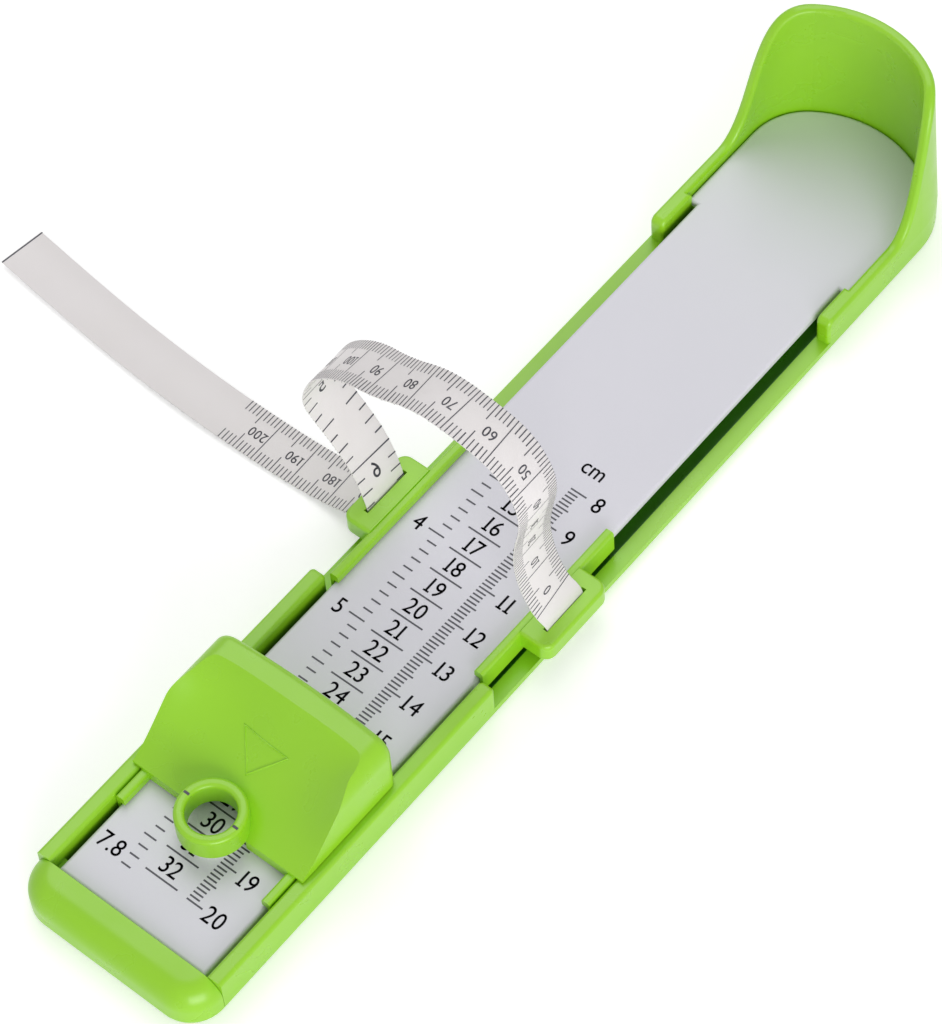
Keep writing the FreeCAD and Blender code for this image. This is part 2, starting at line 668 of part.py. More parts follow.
# --- output -------------------------------------------------------------

PIECES = {
    "base_tray": base_tray,
    "toe_end_cap": toe_end_cap,
    "foot_plate": foot_plate,
    "base_screws": base_screws,
    "tape_carriage": tape_carriage,
    "tape_anchor_pin": tape_anchor_pin,
    "measuring_tape": measuring_tape,
    "toe_slider": toe_slider,
}


def main():
    os.makedirs("parts", exist_ok=True)
    for name, build in PIECES.items():
        shape = build()
        shape.exportStep("parts/" + name + ".step")
        limits = shape.BoundBox
        print("%-16s solids %d valid %s volume %.0f  x %.1f..%.1f y %.1f..%.1f z %.1f..%.1f"
              % (name, len(shape.Solids), shape.isValid(), shape.Volume,
                 limits.XMin, limits.XMax, limits.YMin, limits.YMax,
                 limits.ZMin, limits.ZMax))


main()
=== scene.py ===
"""Foot measuring gauge: finishes, printed scales, tape and studio."""

import math

import bpy
from mathutils import Matrix, Vector
from mathutils.bvhtree import BVHTree


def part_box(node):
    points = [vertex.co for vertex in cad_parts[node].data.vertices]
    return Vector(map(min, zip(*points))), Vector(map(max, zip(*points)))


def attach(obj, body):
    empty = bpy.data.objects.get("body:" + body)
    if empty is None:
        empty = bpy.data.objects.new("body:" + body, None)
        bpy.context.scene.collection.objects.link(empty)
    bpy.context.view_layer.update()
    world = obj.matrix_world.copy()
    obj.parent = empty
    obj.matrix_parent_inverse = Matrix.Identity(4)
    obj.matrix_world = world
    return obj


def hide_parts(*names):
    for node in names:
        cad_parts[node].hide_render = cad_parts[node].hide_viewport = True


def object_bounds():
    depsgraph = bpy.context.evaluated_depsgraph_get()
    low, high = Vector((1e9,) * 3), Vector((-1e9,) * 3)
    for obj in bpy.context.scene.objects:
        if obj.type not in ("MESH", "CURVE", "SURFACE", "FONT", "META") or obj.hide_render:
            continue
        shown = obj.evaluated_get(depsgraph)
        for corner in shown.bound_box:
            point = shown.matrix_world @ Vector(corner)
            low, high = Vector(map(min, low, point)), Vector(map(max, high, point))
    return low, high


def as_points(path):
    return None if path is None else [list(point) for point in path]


bl_info = {
    "name": "Foot measuring gauge",
    "version": (1, 0, 0),
    "blender": (4, 5, 0),
    "location": "View3D > Sidebar > Gauge",
    "description": "Finishes, printed scales and tape of a foot measuring gauge",
    "category": "Object",
}

MM = 0.001

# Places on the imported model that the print, the tape and the marks follow, in metres.
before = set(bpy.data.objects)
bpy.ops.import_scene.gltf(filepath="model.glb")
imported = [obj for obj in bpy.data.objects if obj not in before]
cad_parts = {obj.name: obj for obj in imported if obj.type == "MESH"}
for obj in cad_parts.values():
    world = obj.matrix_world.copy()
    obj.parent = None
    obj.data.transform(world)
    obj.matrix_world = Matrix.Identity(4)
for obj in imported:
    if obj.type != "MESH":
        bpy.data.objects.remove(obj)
CAD_LOW, CAD_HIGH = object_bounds()
PLATE_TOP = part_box("foot_plate")[1][2]
TRAY_BACK_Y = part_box("base_tray")[1][1]
SLIDER_TOE_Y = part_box("toe_slider")[0][1]
PIN_LOW, PIN_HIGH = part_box("tape_anchor_pin")
TAPE_MIDDLE_Y = (PIN_LOW[1] + PIN_HIGH[1]) / 2


# --- sizes and colours a user would change --------------------------------

class GaugeColours(bpy.types.PropertyGroup):
    """Colours of the gauge, as sRGB hex values."""

    green: bpy.props.StringProperty(
        name="Moulding green", description="Lime green of the ABS mouldings",
        default="#9AD625")
    green_deep: bpy.props.StringProperty(
        name="Moulding green, thick", description="Green where the moulding is thick",
        default="#8ECC1C")
    plate: bpy.props.StringProperty(
        name="Plate white", description="Cool white of the printed plate",
        default="#DEDCE5")
    ink: bpy.props.StringProperty(
        name="Ink", description="Dark grey of the printed marks", default="#46464E")
    tape: bpy.props.StringProperty(
        name="Tape white", description="Warm white of the coated tape",
        default="#ECE7E8")


class GaugePrint(bpy.types.PropertyGroup):
    """Sizes of the printed scales on the plate."""

    stroke: bpy.props.FloatProperty(
        name="Stroke", description="Width of a printed line",
        default=0.38 * MM, unit="LENGTH")
    digit_height: bpy.props.FloatProperty(
        name="Digit height", description="Height of the printed digits",
        default=3.8 * MM, unit="LENGTH")
    ink_height: bpy.props.FloatProperty(
        name="Ink height", description="How far the ink stands above the surface",
        default=0.03 * MM, unit="LENGTH")
    first_cm: bpy.props.IntProperty(
        name="First centimetre", description="Smallest centimetre on the scale",
        default=8)
    last_cm: bpy.props.IntProperty(
        name="Last centimetre", description="Largest centimetre on the scale",
        default=20)
    first_size: bpy.props.IntProperty(
        name="First size", description="Smallest shoe size on the scale", default=15)
    last_size: bpy.props.IntProperty(
        name="Last size", description="Largest shoe size on the scale", default=32)
    size_pitch: bpy.props.FloatProperty(
        name="Size pitch", description="Foot length from one shoe size to the next",
        default=6.236 * MM, unit="LENGTH")


class GaugeTape(bpy.types.PropertyGroup):
    """Sizes of the measuring tape."""

    width: bpy.props.FloatProperty(
        name="Width", description="Width of the tape", default=11.5 * MM, unit="LENGTH")
    thickness: bpy.props.FloatProperty(
        name="Thickness", description="Thickness of the tape",
        default=0.35 * MM, unit="LENGTH")
    blank: bpy.props.FloatProperty(
        name="Blank start",
        description="Tape between its end at the pin and its zero line",
        default=14.8 * MM, unit="LENGTH")
    printed_length: bpy.props.IntProperty(
        name="Printed length", description="Last printed millimetre", default=209)
    last_inch: bpy.props.IntProperty(
        name="Last inch", description="Last printed inch on the back", default=9)


class GaugeStage(bpy.types.PropertyGroup):
    """Camera and light."""

    azimuth: bpy.props.FloatProperty(
        name="Azimuth", description="Camera direction round the gauge",
        default=math.radians(43.33), subtype="ANGLE")
    elevation: bpy.props.FloatProperty(
        name="Elevation", description="Camera height above the horizon",
        default=math.radians(56.52), subtype="ANGLE")
    roll: bpy.props.FloatProperty(
        name="Roll", description="Camera turned about its own line of sight",
        default=math.radians(-5.0), subtype="ANGLE")
    distance: bpy.props.FloatProperty(
        name="Distance", description="Camera to the point that it looks at",
        default=0.8217, unit="LENGTH")
    lens: bpy.props.FloatProperty(
        name="Lens", description="Focal length on a 36 mm high frame", default=140.65)
    lamp_power: bpy.props.FloatProperty(
        name="Lamp power", description="Power that each lamp multiplies by its share",
        default=3.4, unit="POWER")


# --- helpers ----------------------------------------------------------------

def linear(hex_colour):
    """sRGB hex to a linear RGBA colour."""
    channels = [int(hex_colour[i:i + 2], 16) / 255 for i in (1, 3, 5)]
    turned = [c / 12.92 if c <= 0.04045 else ((c + 0.055) / 1.055) ** 2.4
              for c in channels]
    return (*turned, 1.0)


def add_node(tree, kind, inputs=None, **settings):
    """Adds a node with its settings; an input takes a value or another's output."""
    made = tree.nodes.new(kind)
    for name, value in settings.items():
        setattr(made, name, value)
    for name, value in (inputs or {}).items():
        if isinstance(value, bpy.types.NodeSocket):
            tree.links.new(value, made.inputs[name])
        else:
            made.inputs[name].default_value = value
    return made


def new_material(name):
    """An empty node material and its tree."""
    material = bpy.data.materials.new(name)
    material.use_nodes = True
    material.node_tree.nodes.clear()
    return material, material.node_tree


def per_mm(size_mm):
    """Noise scale whose features are about this many millimetres."""
    return 1.0 / (size_mm * MM)


def link(thing):
    """Puts an object into the scene and gives it back."""
    bpy.context.scene.collection.objects.link(thing)
    return thing


def curve_mesh(curve):
    """Points and faces of a curve's mesh; the curve itself goes away."""
    holder = link(bpy.data.objects.new(curve.name, curve))
    bpy.context.view_layer.update()
    mesh = bpy.data.meshes.new_from_object(
        holder.evaluated_get(bpy.context.evaluated_depsgraph_get()))
    points = [v.co.copy() for v in mesh.vertices]
    faces = [tuple(p.vertices) for p in mesh.polygons]
    bpy.data.objects.remove(holder)
    bpy.data.curves.remove(curve)
    bpy.data.meshes.remove(mesh)
    return points, faces


def mesh_piece(name, vertices, faces, body, material, smooth=False):
    """A mesh object that rides on a body, from points in metres."""
    mesh = bpy.data.meshes.new(name)
    mesh.from_pydata([tuple(v) for v in vertices], [], faces)
    mesh.update()
    if smooth:
        mesh.shade_smooth()
    mesh.materials.append(material)
    piece = link(bpy.data.objects.new(name, mesh))
    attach(piece, body)
    return piece


def give(node_name, material):
    """Puts one material on a CAD node."""
    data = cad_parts[node_name].data
    data.materials.clear()
    data.materials.append(material)


# --- materials ----------------------------------------------------------------

# Size of each finish's pattern, in millimetres.
PIGMENT_DRIFT = 28
HANDLED_PATCH = 9
POLISH_RIPPLE = 1.5
PLATE_CLOUD = 35
PLATE_GRAIN = 0.5
STARVED_SPOT = 0.8
TAPE_CLOUD = 14
TAPE_RIB = 3.184
ZINC_GRAIN = 0.4
PAPER_FIBRE = 4

# The tones that a finish drifts between, beside the colours a user sets.
PLATE_SHADE = "#D7D6DF"
STARVED_INK = "#6E6E76"
TAPE_SHADE = "#E7E2E1"
ZINC_DARK = "#B9BBC0"
ZINC_BRIGHT = "#CFD1D4"
PAPER_DARK = "#F4F4F4"
PAPER_BRIGHT = "#F7F7F7"
WHITE = (1.0, 1.0, 1.0, 1.0)

# Painted shade in the groove beside the plate: its colour at the bottom and, in
# millimetres, the heights between which it darkens, its half width and the middle of its
# round heel.
GROOVE_PAINTED_SHADE = "#34780D"
GROOVE_BOTTOM = 2.4
GROOVE_TOP = 6.8
GROOVE_HALF_WIDTH = 20.45
HEEL_CENTRE_Y = 99.2

# A face whose normal's height is above this isn't on the underside.
UNDERSIDE_LIMIT = -0.5

# How far a wave texture turns in one unit of its own space, in radians.
WAVE_RADIANS = 20.0


def groove_shade(tree, place):
    """Painted shade: 1 deep in the groove beside the plate, 0 on the rest of the tray."""
    spot = add_node(tree, "ShaderNodeSeparateXYZ", {"Vector": place})
    depth = add_node(tree, "ShaderNodeMapRange",
                     {"Value": spot.outputs["Z"], "From Min": GROOVE_BOTTOM * MM,
                      "From Max": GROOVE_TOP * MM, "To Min": 1.0, "To Max": 0.0})
    # The groove runs straight along both sides and is round at the heel.
    past = add_node(tree, "ShaderNodeMath",
                    {0: spot.outputs["Y"], 1: HEEL_CENTRE_Y * MM},
                    operation="SUBTRACT")
    round_heel = add_node(tree, "ShaderNodeMath", {0: past.outputs[0], 1: 0.0},
                          operation="MAXIMUM")
    from_middle = add_node(tree, "ShaderNodeCombineXYZ",
                           {"X": spot.outputs["X"], "Y": round_heel.outputs[0]})
    reach = add_node(tree, "ShaderNodeVectorMath", {"Vector": from_middle.outputs[0]},
                     operation="LENGTH")
    inside = add_node(tree, "ShaderNodeMath",
                      {0: reach.outputs["Value"], 1: GROOVE_HALF_WIDTH * MM},
                      operation="LESS_THAN")
    # The painted shade stays off the underside of the tray.
    surface = add_node(tree, "ShaderNodeNewGeometry")
    facing = add_node(tree, "ShaderNodeSeparateXYZ",
                      {"Vector": surface.outputs["Normal"]})
    upward = add_node(tree, "ShaderNodeMath",
                      {0: facing.outputs["Z"], 1: UNDERSIDE_LIMIT},
                      operation="GREATER_THAN")
    both = add_node(tree, "ShaderNodeMath",
                    {0: inside.outputs[0], 1: upward.outputs[0]},
                    operation="MULTIPLY")
    return add_node(tree, "ShaderNodeMath",
                    {0: both.outputs[0], 1: depth.outputs["Result"]},
                    operation="MULTIPLY").outputs[0]


def moulded_abs(name, colour, deep_colour, paint_groove_shade=False):
    """Injection-moulded ABS: a glossy tool finish, slightly uneven in the light."""
    material, tree = new_material(name)
    place = add_node(tree, "ShaderNodeTexCoord").outputs["Object"]
    # Pigment drifts slowly along the flow of the melt.
    flow = add_node(tree, "ShaderNodeTexNoise",
                    {"Vector": place, "Scale": per_mm(PIGMENT_DRIFT),
                     "Detail": 3.0})
    pigment_and_shade = add_node(tree, "ShaderNodeMix",
                       {"Factor": flow.outputs["Fac"], "A": linear(deep_colour),
                        "B": linear(colour)}, data_type="RGBA")
    if paint_groove_shade:
        # Painted shade darkens the groove beside the plate.
        pigment_and_shade = add_node(tree, "ShaderNodeMix",
                           {"Factor": groove_shade(tree, place),
                            "A": pigment_and_shade.outputs["Result"],
                            "B": linear(GROOVE_PAINTED_SHADE)}, data_type="RGBA")
    # Handling leaves slightly duller patches.
    haze = add_node(tree, "ShaderNodeTexNoise",
                    {"Vector": place, "Scale": per_mm(HANDLED_PATCH),
                     "Detail": 4.0})
    dull = add_node(tree, "ShaderNodeMapRange",
                    {"Value": haze.outputs["Fac"], "From Min": 0.3, "From Max": 0.7,
                     "To Min": 0.25, "To Max": 0.36})
    # The tool's polish leaves a short, shallow ripple.
    ripple = add_node(tree, "ShaderNodeTexNoise",
                      {"Vector": place, "Scale": per_mm(POLISH_RIPPLE),
                       "Detail": 2.0})
    relief = add_node(tree, "ShaderNodeBump",
                      {"Height": ripple.outputs["Fac"], "Strength": 0.05,
                       "Distance": 0.04 * MM})
    shader = add_node(tree, "ShaderNodeBsdfPrincipled",
                      {"Base Color": pigment_and_shade.outputs["Result"],
                       "Roughness": dull.outputs["Result"],
                       "Normal": relief.outputs["Normal"], "IOR": 1.53})
    add_node(tree, "ShaderNodeOutputMaterial", {"Surface": shader.outputs[0]})
    return material


def satin_polystyrene(name, colour):
    """Moulded polystyrene plate with a satin face that takes print."""
    material, tree = new_material(name)
    place = add_node(tree, "ShaderNodeTexCoord").outputs["Object"]
    cloud = add_node(tree, "ShaderNodeTexNoise",
                     {"Vector": place, "Scale": per_mm(PLATE_CLOUD), "Detail": 3.0})
    tint = add_node(tree, "ShaderNodeMix",
                    {"Factor": cloud.outputs["Fac"], "A": linear(colour),
                     "B": linear(PLATE_SHADE)}, data_type="RGBA")
    # A fine grain from the tool dulls the gloss unevenly.
    grain = add_node(tree, "ShaderNodeTexNoise",
                     {"Vector": place, "Scale": per_mm(PLATE_GRAIN), "Detail": 3.0})
    dull = add_node(tree, "ShaderNodeMapRange",
                    {"Value": grain.outputs["Fac"], "To Min": 0.34, "To Max": 0.5})
    relief = add_node(tree, "ShaderNodeBump",
                      {"Height": grain.outputs["Fac"], "Strength": 0.1,
                       "Distance": 0.02 * MM})
    shader = add_node(tree, "ShaderNodeBsdfPrincipled",
                      {"Base Color": tint.outputs["Result"],
                       "Roughness": dull.outputs["Result"],
                       "Normal": relief.outputs["Normal"], "IOR": 1.55})
    add_node(tree, "ShaderNodeOutputMaterial", {"Surface": shader.outputs[0]})
    return material


def pad_ink(name, colour):
    """Pad-printed ink: matt, slightly starved where the pad lifted."""
    material, tree = new_material(name)
    place = add_node(tree, "ShaderNodeTexCoord").outputs["Object"]
    starve = add_node(tree, "ShaderNodeTexNoise",
                      {"Vector": place, "Scale": per_mm(STARVED_SPOT),
                       "Detail": 4.0})
    thin = add_node(tree, "ShaderNodeMapRange",
                    {"Value": starve.outputs["Fac"], "From Min": 0.45,
                     "From Max": 0.8, "To Min": 0.0, "To Max": 0.35})
    tone = add_node(tree, "ShaderNodeMix",
                    {"Factor": thin.outputs["Result"], "A": linear(colour),
                     "B": linear(STARVED_INK)}, data_type="RGBA")
    shader = add_node(tree, "ShaderNodeBsdfPrincipled",
                      {"Base Color": tone.outputs["Result"], "Roughness": 0.55})
    add_node(tree, "ShaderNodeOutputMaterial", {"Surface": shader.outputs[0]})
    return material


def coated_fibreglass(name, colour):
    """PVC-coated glass-fibre ribbon: a soft sheen over faint ribs."""
    material, tree = new_material(name)
    place = add_node(tree, "ShaderNodeTexCoord").outputs["UV"]
    cloud = add_node(tree, "ShaderNodeTexNoise",
                     {"Vector": place, "Scale": per_mm(TAPE_CLOUD), "Detail": 3.0})
    tint = add_node(tree, "ShaderNodeMix",
                    {"Factor": cloud.outputs["Fac"], "A": linear(colour),
                     "B": linear(TAPE_SHADE)}, data_type="RGBA")
    # Bundles of thread run along the ribbon and lift its coating a little.
    weave = add_node(tree, "ShaderNodeTexWave",
                     {"Vector": place,
                      "Scale": 2 * math.pi / WAVE_RADIANS * per_mm(TAPE_RIB),
                      "Distortion": 0.6, "Detail": 2.0}, bands_direction="Y")
    relief = add_node(tree, "ShaderNodeBump",
                      {"Height": weave.outputs["Fac"], "Strength": 0.15,
                       "Distance": 0.03 * MM})
    shader = add_node(tree, "ShaderNodeBsdfPrincipled",
                      {"Base Color": tint.outputs["Result"], "Roughness": 0.48,
                       "Normal": relief.outputs["Normal"], "Subsurface Weight": 0.12,
                       "Subsurface Radius": (1.0, 1.0, 1.0),
                       "Subsurface Scale": 1.5 * MM})
    add_node(tree, "ShaderNodeOutputMaterial", {"Surface": shader.outputs[0]})
    return material


def zinc_plated_steel(name):
    """Zinc-plated steel: bright, with a fine mottle from the plating bath."""
    material, tree = new_material(name)
    place = add_node(tree, "ShaderNodeTexCoord").outputs["Object"]
    grain = add_node(tree, "ShaderNodeTexNoise",
                     {"Vector": place, "Scale": per_mm(ZINC_GRAIN), "Detail": 3.0})
    tone = add_node(tree, "ShaderNodeMix",
                    {"Factor": grain.outputs["Fac"], "A": linear(ZINC_DARK),
                     "B": linear(ZINC_BRIGHT)}, data_type="RGBA")
    dull = add_node(tree, "ShaderNodeMapRange",
                    {"Value": grain.outputs["Fac"], "To Min": 0.25, "To Max": 0.45})
    shader = add_node(tree, "ShaderNodeBsdfPrincipled",
                      {"Base Color": tone.outputs["Result"],
                       "Roughness": dull.outputs["Result"], "Metallic": 1.0})
    add_node(tree, "ShaderNodeOutputMaterial", {"Surface": shader.outputs[0]})
    return material


# --- print --------------------------------------------------------------------

# Characters, in shares of their height: how far apart each is struck twice to thicken
# it, its width against the typeface's own, and the gap to the next.
STRIKE = 0.018
NARROWING = 0.86
CHARACTER_GAP = 0.12

# The foot of the figure one, and the middle of its stem from the right.
FOOT_HALF_WIDTH = 0.2
FOOT_RISE = 0.11
STEM_FROM_RIGHT = 0.055

# Steps along each curve of a character's outline.
CURVE_STEPS = 4


class Glyphs:
    """Flat characters of the built-in typeface, with a nought one unit high."""

    def __init__(self):
        self.known = {}
        nought = self.flat("0", 1.0)[0]
        self.unit = 1.0 / max(y for _, y in nought)

    def flat(self, character, unit):
        """Points and faces of one character, its points multiplied by the unit."""
        curve = bpy.data.curves.new("glyph", "FONT")
        curve.body = character
        curve.resolution_u = CURVE_STEPS
        points, faces = curve_mesh(curve)
        return [(point.x * unit, point.y * unit) for point in points], faces

    def outline(self, character):
        """Points, faces and width of one character, its left edge at 0."""
        if character not in self.known:
            points, faces = self.flat(character, self.unit)
            left = min(x for x, _ in points)
            right = max(x for x, _ in points)
            if character == "1":
                stem = right - STEM_FROM_RIGHT
                start = len(points)
                points += [(stem - FOOT_HALF_WIDTH, 0.0), (stem + FOOT_HALF_WIDTH, 0.0),
                           (stem + FOOT_HALF_WIDTH, FOOT_RISE),
                           (stem - FOOT_HALF_WIDTH, FOOT_RISE)]
                faces.append(tuple(range(start, start + 4)))
                left = min(left, stem - FOOT_HALF_WIDTH)
                right = stem + FOOT_HALF_WIDTH
            points = [(x - left, y) for x, y in points]
            self.known[character] = (points, faces, right - left)
        return self.known[character]

    def word(self, text, height):
        """Points and faces of a word, centred on its own middle."""
        points = []
        faces = []
        pen = 0.0
        for character in text:
            shape, polygons, width = self.outline(character)
            for shift in (-STRIKE / 2, STRIKE / 2):
                start = len(points)
                points += [(pen + x * NARROWING + shift, y) for x, y in shape]
                faces += [tuple(start + i for i in polygon) for polygon in polygons]
            pen += width * NARROWING + CHARACTER_GAP
        length = pen - CHARACTER_GAP
        centred = [((x - length / 2) * height, (y - 0.5) * height) for x, y in points]
        return centred, faces


class Print:
    """Collects printed strokes and words, each placed through one mapping."""

    def __init__(self, place):
        self.place = place
        self.vertices = []
        self.faces = []

    def bar(self, u0, u1, v0, v1, parts=1):
        """A filled rectangle, cut into parts along u so that it can follow a bend."""
        for index in range(parts):
            a = u0 + (u1 - u0) * index / parts
            b = u0 + (u1 - u0) * (index + 1) / parts
            start = len(self.vertices)
            self.vertices += [self.place(u, v) for u, v in
                              ((a, v0), (b, v0), (b, v1), (a, v1))]
            self.faces.append(tuple(range(start, start + 4)))

    def word(self, glyphs, text, u, v, height, turned=False):
        """A word centred at u, v; turned runs it along v instead of u."""
        points, faces = glyphs.word(text, height)
        start = len(self.vertices)
        for x, y in points:
            if turned:
                self.vertices.append(self.place(u - y, v + x))
            else:
                self.vertices.append(self.place(u + x, v + y))
        self.faces += [tuple(start + i for i in face) for face in faces]


# The plate's scales in millimetres. Each X is the even edge of a column's lines, both
# ends of them or the middle of its numbers.
CM_TICKS_X = 5.24
CM_TICK_LENGTHS = {"tenth": 2.5, "half": 3.2, "whole": 4.06}
CM_DIGITS_X = 12.4
CM_UNIT_X = 6.4
CM_UNIT_BEFORE = 6.5
SIZE_LINE_X = (-5.58, 2.73)
SIZE_DIGITS_X = -1.5
SIZE_DIGITS_RISE = 3.1
INCH_TICKS_X = -7.85
INCH_TICK_LENGTHS = {"tenth": 2.4, "half": 3.15, "whole": 4.07}
INCH_DIGITS_X = -14.4
INCH = 25.4

# The inch scale runs in tenths, and its last number stands a little up the gauge.
FIRST_TENTH = 30
LAST_TENTH = 78
LAST_NUMBER_RISE = 1.9

# The centimetres' zero is this far before the back of the tray. The other two scales
# are shifted against the centimetres.
ZERO_FROM_BACK = 37.0
SIZE_SHIFT = -0.1
INCH_SHIFT = 3.7


def reading_y(millimetres):
    """Y on the plate of a foot length reading, in metres."""
    return TRAY_BACK_Y - (ZERO_FROM_BACK + millimetres) * MM


def tick_kind(step):
    """Which length a line has on a scale that is divided into tenths."""
    return "whole" if step % 10 == 0 else "half" if step % 5 == 0 else "tenth"


class GAUGE_OT_print_plate(bpy.types.Operator):
    """Print the centimetre, size and inch scales on the plate"""

    bl_idname = "gauge.print_plate"
    bl_label = "Print the plate"

    def execute(self, context):
        colours = context.scene.gauge_colours
        sizes = context.scene.gauge_print
        ink = pad_ink("Pad-printed ink, plate", colours.ink)
        height = PLATE_TOP + sizes.ink_height
        marks = Print(lambda u, v: (u, v, height))
        numbers = Print(lambda u, v: (u, v, height))
        glyphs = Glyphs()

        def line(x0, x1, y):
            marks.bar(x0 * MM, x1 * MM, y - sizes.stroke / 2, y + sizes.stroke / 2)

        def number(text, x, y):
            numbers.word(glyphs, text, x * MM, y, sizes.digit_height)

        self.centimetres(sizes, line, number)
        self.shoe_sizes(sizes, line, number)
        self.inches(line, number)
        mesh_piece("plate_marks", marks.vertices, marks.faces, "base", ink)
        mesh_piece("plate_numbers", numbers.vertices, numbers.faces, "base", ink)
        return {"FINISHED"}

    def centimetres(self, sizes, line, number):
        """The foot length in millimetres, with a number at every centimetre."""
        for step in range(sizes.first_cm * 10, sizes.last_cm * 10 + 1):
            kind = tick_kind(step)
            line(CM_TICKS_X, CM_TICKS_X + CM_TICK_LENGTHS[kind], reading_y(step))
            if kind == "whole":
                number(str(step // 10), CM_DIGITS_X, reading_y(step))
        number("cm", CM_UNIT_X, reading_y(sizes.first_cm * 10 - CM_UNIT_BEFORE))

    def shoe_sizes(self, sizes, line, number):
        """A line at every shoe size, with its number on the heel's side."""
        last_y = reading_y(sizes.last_cm * 10 + SIZE_SHIFT)
        for size in range(sizes.first_size, sizes.last_size + 1):
            y = last_y + (sizes.last_size - size) * sizes.size_pitch
            line(*SIZE_LINE_X, y)
            number(str(size), SIZE_DIGITS_X, y + SIZE_DIGITS_RISE * MM)

    def inches(self, line, number):
        """Tenths of an inch, with a number at every inch and at the last line."""
        for tenth in range(FIRST_TENTH, LAST_TENTH + 1):
            kind = tick_kind(tenth)
            y = reading_y(tenth * INCH / 10 + INCH_SHIFT)
            line(INCH_TICKS_X - INCH_TICK_LENGTHS[kind], INCH_TICKS_X, y)
            if kind == "whole":
                number(str(tenth // 10), INCH_DIGITS_X, y)
        number(str(LAST_TENTH / 10), INCH_DIGITS_X, y + LAST_NUMBER_RISE * MM)


# --- tape ---------------------------------------------------------------------

# Guide points of the tape's middle line in millimetres: X, how far it drifts along the
# gauge, and Z. It goes round its anchor pin, up through the slot, over the foot's
# place, down through the other slot, under that bracket and out along the table.
TAPE_ROUTE = [
    (25.49, 0.0, 5.4),
    (25.49, 0.0, 3.6),
    (23.5, 0.0, 3.6),
    (23.5, 0.0, 6.0),
    (23.9, -0.2, 10.6),
    (21.3, -1.7, 15.4),
    (19.0, -2.5, 23.7),
    (18.6, -3.3, 32.9),
    (20.5, -4.7, 42.7),
    (23.6, -6.2, 53.4),
    (23.9, -7.0, 62.2),
    (18.7, -6.7, 69.5),
    (9.7, -7.3, 73.4),
    (-1.0, -6.5, 72.9),
    (-11.2, -7.0, 68.8),
    (-20.8, -5.2, 64.4),
    (-30.2, -3.9, 55.3),
    (-35.4, -2.3, 43.9),
    (-37.2, -1.0, 36.6),
    (-35.2, 0.0, 30.8),
    (-31.4, 0.4, 25.6),
    (-27.6, 0.8, 19.2),
    (-23.5, 0.0, 10.9),
    (-23.5, 0.0, 5.6),
    (-23.7, 0.0, 4.0),
    (-28.8, 0.0, 3.4),
    (-36.5, -0.3, 0.9),
    (-52.0, -0.9, 0.5),
    (-76.0, -0.9, 1.2),
    (-106.0, 1.6, 0.6),
    (-132.0, 5.0, 1.2),
]

# Steps of the middle line for each guide point, the ribbon's own step along it in
# millimetres, and the share of its thickness that is left at its rounded edges.
LINE_STEPS = 12
RIBBON_STEP = 0.5
EDGE_SHARE = 0.4

# Print of the outer face in millimetres. Lines run in from both edges, and a figure
# stands past its line and a little off the middle. The dark band of the sealed end
# lies between two distances from the ribbon's end.
MM_HALF_STROKE = 0.11
MM_LINE_LENGTHS = {"half": 4.1, "tenth": 2.6}
MM_DIGIT_PAST = 2.6
MM_DIGIT_HEIGHT = 2.3
DIGIT_OFF_MIDDLE = 0.3
SEALED_END = (0.45, 0.1)

# The same for the inner face, in eighths of an inch.
INCH_HALF_STROKE = 0.16
EIGHTH_LENGTH = 2.2
QUARTER_LENGTH = 2.9
HALF_INCH_LENGTH = 3.7
INCH_DIGIT_PAST = 3.2
INCH_DIGIT_HEIGHT = 3.8


def tape_line():
    """Points along the smooth middle line of the tape, in metres."""
    curve = bpy.data.curves.new("tape_line", "CURVE")
    curve.dimensions = "3D"
    curve.resolution_u = LINE_STEPS
    spline = curve.splines.new("NURBS")
    spline.points.add(len(TAPE_ROUTE) - 1)
    for control, (x, drift, z) in zip(spline.points, TAPE_ROUTE):
        control.co = (x * MM, TAPE_MIDDLE_Y + drift * MM, z * MM, 1.0)
    spline.order_u = 3
    spline.use_endpoint_u = True
    return curve_mesh(curve)[0]


class TapeLine:
    """The tape's middle line, measured along its length."""

    def __init__(self, points):
        self.points = points
        self.lengths = [0.0]
        for before, after in zip(points, points[1:]):
            self.lengths.append(self.lengths[-1] + (after - before).length)
        self.total = self.lengths[-1]

    def at(self, length):
        """Point, direction across the ribbon and outward normal at a length."""
        length = min(max(length, 0.0), self.total)
        index = 1
        while index < len(self.lengths) - 1 and self.lengths[index] < length:
            index += 1
        span = self.lengths[index] - self.lengths[index - 1]
        share = (length - self.lengths[index - 1]) / span
        point = self.points[index - 1].lerp(self.points[index], share)
        if share > 0.5:
            ahead = self.tangent(index).lerp(self.tangent(index + 1), share)
        else:
            ahead = self.tangent(index - 1).lerp(self.tangent(index), share + 0.5)
        ahead.normalize()
        outward = ahead.cross(Vector((0.0, -1.0, 0.0))).normalized()
        return point, outward.cross(ahead), outward

    def tangent(self, index):
        """Direction of the piece of line that ends at a point."""
        index = min(max(index, 1), len(self.points) - 1)
        return (self.points[index] - self.points[index - 1]).normalized()


def tape_face(line, sizes, printing, side):
    """An empty print on one face of the ribbon: side 1 is outer and -1 inner."""
    rise = side * (sizes.thickness / 2 + printing.ink_height)

    def place(u, v):
        point, across, outward = line.at(sizes.blank + u)
        return point + outward * rise + across * v

    return Print(place)


def edge_lines(face, u, stroke, half, length):
    """A line of one length from each edge of the ribbon."""
    for side in (-1, 1):
        face.bar(u - stroke, u + stroke, side * half, side * (half - length))


